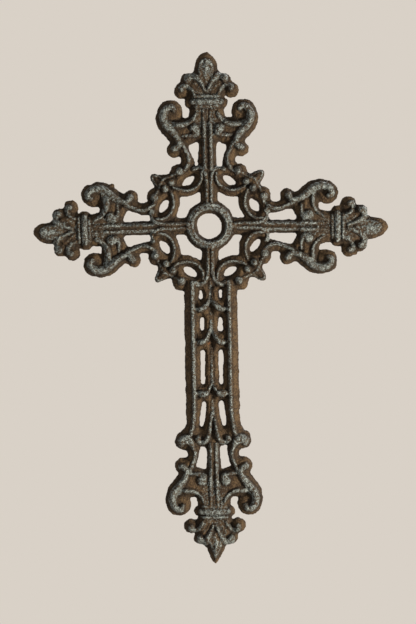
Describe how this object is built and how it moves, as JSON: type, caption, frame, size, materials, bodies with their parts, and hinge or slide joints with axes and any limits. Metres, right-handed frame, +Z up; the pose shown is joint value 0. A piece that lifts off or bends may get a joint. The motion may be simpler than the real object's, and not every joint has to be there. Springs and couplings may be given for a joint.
{
  "type": "cast iron wall cross",
  "caption": "Openwork cross cast flat-backed in iron, with scrolled arms, leaf tips, a pierced ring hub and a nail pocket behind the top collar.",
  "frame": {"origin": "on the flat back, behind the top arm's neck just under its collar, where the cross bears on the wall below its nail", "axes": "+Z up the long arm, +X to the viewer's right, +Y into the wall, so the relief faces -Y"},
  "size_m": [0.2156, 0.0092, 0.311],
  "materials": {
    "cast_iron": "sand-cast, brown rust patina in the hollows, worn to blue-grey on the ridges"
  },
  "bodies": {
    "root": {"cross_casting": "cast_iron"}
  },
  "joints": []
}
